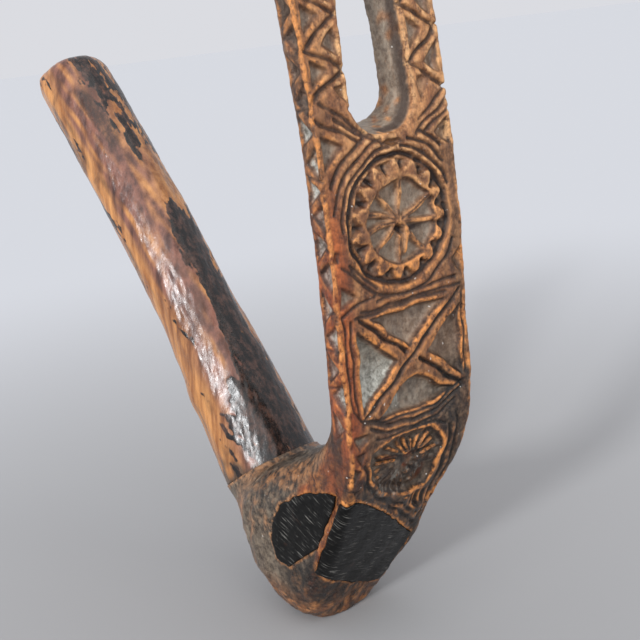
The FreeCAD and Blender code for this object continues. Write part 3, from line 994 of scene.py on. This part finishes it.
def build_carved():
    low, high = (-31.5, -61.5, -0.8), (31.5, 49.0, TOP_Z + 1.0)
    ob = piece("carved_limb", carved_solid, low, high, STEP, THIN)
    p, n = places(ob)
    x, y, z = p.T
    a = carved_areas(x, y, z, n)
    probe = 1.1                          # how far out of and into the surface ridges (wear and painted highlight) and creases (painted shade) are judged
    # Painted shade: concave creases are darkened
    crease_shade = step01(1.0 - measured(carved_solid, p + probe * n) / probe, 0.1, 0.6)
    ridge = step01(1.0 + measured(carved_solid, p - probe * n) / probe, 0.08, 0.5)
    blotch, mottle = waves(x, y, z, 24, 61), waves(x, y, z * 0.6, 6, 62)
    spots = waves(x, y, z * 0.7, 2.6, 67)
    both = blotch + mottle

    side_pale = edge_read("pale", x, a.behind, z)
    pale = most(a.front * FRONT.read("pale", x, z), 0.85 * a.slot_wall * step01(both, 1.6, 0.6))
    # The small rosette's pale speckles, and a painted highlight in the lower part of the crossed
    # panel's left hollow
    chalk = most(
        0.85 * a.rose * step01(z, 71, 66) * step01(spots + mottle, 0.1, 1),
        0.8 * a.front * (pale > 0.5) * (x < -4.0) * step01(z, 113, 104) * step01(z, 90, 96))
    # Dark mask: dirt, with painted shade from cut depth, hollow rims and creases
    dark = most(
        a.front * FRONT.read("dark", x, z),
        a.side * edge_read("dark", x, a.behind, z),
        0.8 * crease_shade * (1.0 - a.slot_wall),
        a.slot_wall * 0.85 * step01(a.behind, 8.5, 5) * (x > 0),
        0.62 * a.red * step01(z, 88, 76) * step01(both, -2.2, -0.4),
        a.throat * (0.45 + 0.35 * step01(both, -0.6, 0.6)),
        0.6 * a.bare)
    proud = most(a.front * FRONT.read("proud", x, z), a.side * edge_read("proud", x, a.behind, z))
    burst = a.rose * step01(z, 74, 67) * (spots < 0.5)
    # Ridges and proud edges: partly real wear, partly painted highlight
    wear = most(ridge * 0.8, proud) * (1.0 - 0.85 * burst)
    wear = np.minimum(wear * (1.0 + 0.5 * a.front * step01(z, 96, 80)), 1.0)
    wear *= (1.0 - pale) * (1.0 - 0.7 * a.back) * (0.45 + 0.55 * most(a.front, a.side))
    cheek = a.heel * (1.0 - a.foot) * (1.0 - a.rear)
    flank = 0.95 * cheek * step01(x, 12, 0) * step01(mottle + 0.5 * spots, -3, -1.5)
    lower = 112.0 - z + 0.62 * x + 7.0 * blotch
    soot = most(
        0.95 * step01(lower, 0, 36) * most(a.front, a.side * (x > 0)),
        # Painted shade: the right part of the upper front is darkened
        0.5 * a.front * step01(x + 4.0 * blotch, 15, 26) * step01(z, 186, 172),
        0.62 * a.side * (side_pale < 0.4) * step01(mottle + 0.01 * (z - 150.0), -0.8, 0.6),
        0.85 * a.back * step01(blotch + 0.6 * mottle, -1.2, 0.6),
        cheek * (0.12 + 0.7 * a.fork) * step01(mottle + spots, -2.8, -0.8),
        0.8 * a.foot * step01(0.7 * mottle + 0.9 * spots, -0.5, 0.4),
        0.95 * a.bare * step01(0.6 * mottle + spots, -1.9, -0.3))
    soot *= (1.0 - 0.75 * wear) * (1.0 - 0.8 * chalk) * (1.0 - 0.35 * pale)
    # These masks carry painted highlight on the ridges, painted shade in the cuts, creases and
    # upper front, and a painted highlight in the crossed panel
    paint(ob, dark=dark * (1.0 - 0.7 * a.foot), pale=pale, wear=wear, soot=soot,
          red=a.red * (1.0 - pale), flank=flank, chalk=most(a.side * side_pale, chalk),
          low=most(step01(z, 190, 130), step01(x, -18, -26)))
    return ob


def build_limb():
    low, high = (-23.0, 9.0, 24.0), (23.0, 156.0, 232.0)
    ob = piece("round_limb", limb_solid, low, high, 1.25 * STEP, THIN)
    x, y, z = places(ob)[0].T
    t, _, angle = limb_coords(x, y, z)
    a = np.degrees(angle) % 360.0
    drift = along_limb(t, angle, 20, 62, 0.4)
    streak = step01(np.abs(a - 218.0 + 8.0 * drift), 48, 24)
    streak *= step01(along_limb(t, angle, 5, 66), -1.9, 0.2)
    side = step01(np.abs(a - 296.0), 60, 20)
    side *= step01(along_limb(t, angle, 7, 64, 0.22), 0.5, 1.3)
    top = step01(t, 112, 150) * step01(along_limb(t, angle, 9, 65), 0.2, 0.9)
    heel = step01(t, 22, 4) * step01(waves(x, y, z, 9, 63), -0.6, 0.6) + step01(t, 6, 2.5)
    paint(ob, coat=coat_mask(t, angle), streak=streak, dark=most(0.75 * side, 0.8 * top),
          heel=0.9 * np.minimum(heel, 1.0))
    return ob


carved = build_carved()
limb = build_limb()
front_patch = piece("front_pitch_patch", front_patch_solid, (-31, -58, 4), (20, -10, 68))
side_patch = piece("side_pitch_patch", side_patch_solid, (-31, -49, 24), (-14, -3, 68))
peg = piece("tenon_peg", peg_solid, (-14.0, 17.0, 37.0), (26.0, 24.0, 44.0), 0.4)

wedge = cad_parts["tenon_wedge"]
wedge.data.materials.clear()
for ob, material in (
        (carved, carved_material()), (limb, limb_material()), (peg, peg_material()),
        (front_patch, pitch_material("pitch_front", (0.42, -0.48, 0.77), (0.91, 0.22, -0.36))),
        (side_patch, pitch_material("pitch_side", (0.0, -0.5, 0.87), (0.0, 0.87, 0.5)))):
    ob.data.materials.append(material)
wedge.data.materials.append(peg.data.materials[0])

for ob, node, name in (
        (carved, "carved_limb", "carved_wood"), (limb, "round_limb", "limb_wood"),
        (peg, "tenon_peg", "peg_wood"), (front_patch, "front_pitch_patch", "pitch"),
        (side_patch, "side_pitch_patch", "pitch")):
    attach(ob, "root")
    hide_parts(node)


# ---------- the setting ----------
def floor_sheet():
    """Plain pale floor, with painted shade: a little darker round the object."""
    m = Look("studio_sheet")
    far = m.node("VectorMath", {0: m.coords}, operation="LENGTH")
    # Painted shade: darker near the object, paler with distance
    colour = m.tones(far.outputs["Value"], 0.05, 0.8, (158, 158, 159), (194, 196, 200))
    size = 40.0
    corners = [(-size, -size, 0), (size, -size, 0), (size, size, 0), (-size, size, 0)]
    mesh = bpy.data.meshes.new("studio_sheet")
    mesh.from_pydata(corners, [], [(0, 1, 2, 3)])
    mesh.materials.append(m.shade(colour, 1.0, specular=0.0))
    placed("studio_sheet", mesh)


def sky(colour, strength):
    """Even light from all round, which is also the backdrop."""
    world = bpy.data.worlds.new("studio")
    world.use_nodes = True
    background = world.node_tree.nodes["Background"]
    background.inputs["Color"].default_value = srgb(colour)
    background.inputs["Strength"].default_value = strength
    bpy.context.scene.world = world


def sun_light(name, heading, strength, spread, colour):
    data = bpy.data.lights.new(name, "SUN")
    data.energy, data.angle, data.color = strength, math.radians(spread), colour
    placed(name, data).rotation_euler = Vector(heading).to_track_quat("-Z", "Y").to_euler()


def photo_camera():
    """The photo's viewpoint: place in metres, the picture's axes and its focal length."""
    place = (-0.24513, -0.30842, 0.21441)
    right, up = Vector((0.74314, -0.65897, -0.11619)), Vector((0.25066, 0.11315, 0.96144))
    ahead = Vector((0.62041, 0.74361, -0.24927))
    focal_px, picture_px, sensor_mm = 1100.0, 640.0, 36.0
    camera = placed("camera", bpy.data.cameras.new("camera"))
    camera.data.sensor_width = sensor_mm
    camera.data.lens = sensor_mm * focal_px / picture_px
    camera.data.clip_start, camera.data.clip_end = 0.02, 50.0
    turn = Matrix((right, up, -ahead)).transposed().to_4x4()
    camera.matrix_world = Matrix.Translation(place) @ turn
    bpy.context.scene.camera = camera


floor_sheet()
sky((208, 209, 214), 1.12)
sun_light("top", (0.3, 0.8, -1.0), 1.2, 75.0, (1.0, 0.985, 0.96))
sun_light("window", (0.9, 0.28, -0.4), 2.2, 9.0, (0.98, 0.99, 1.0))
photo_camera()
bpy.context.scene.view_settings.view_transform = "Standard"
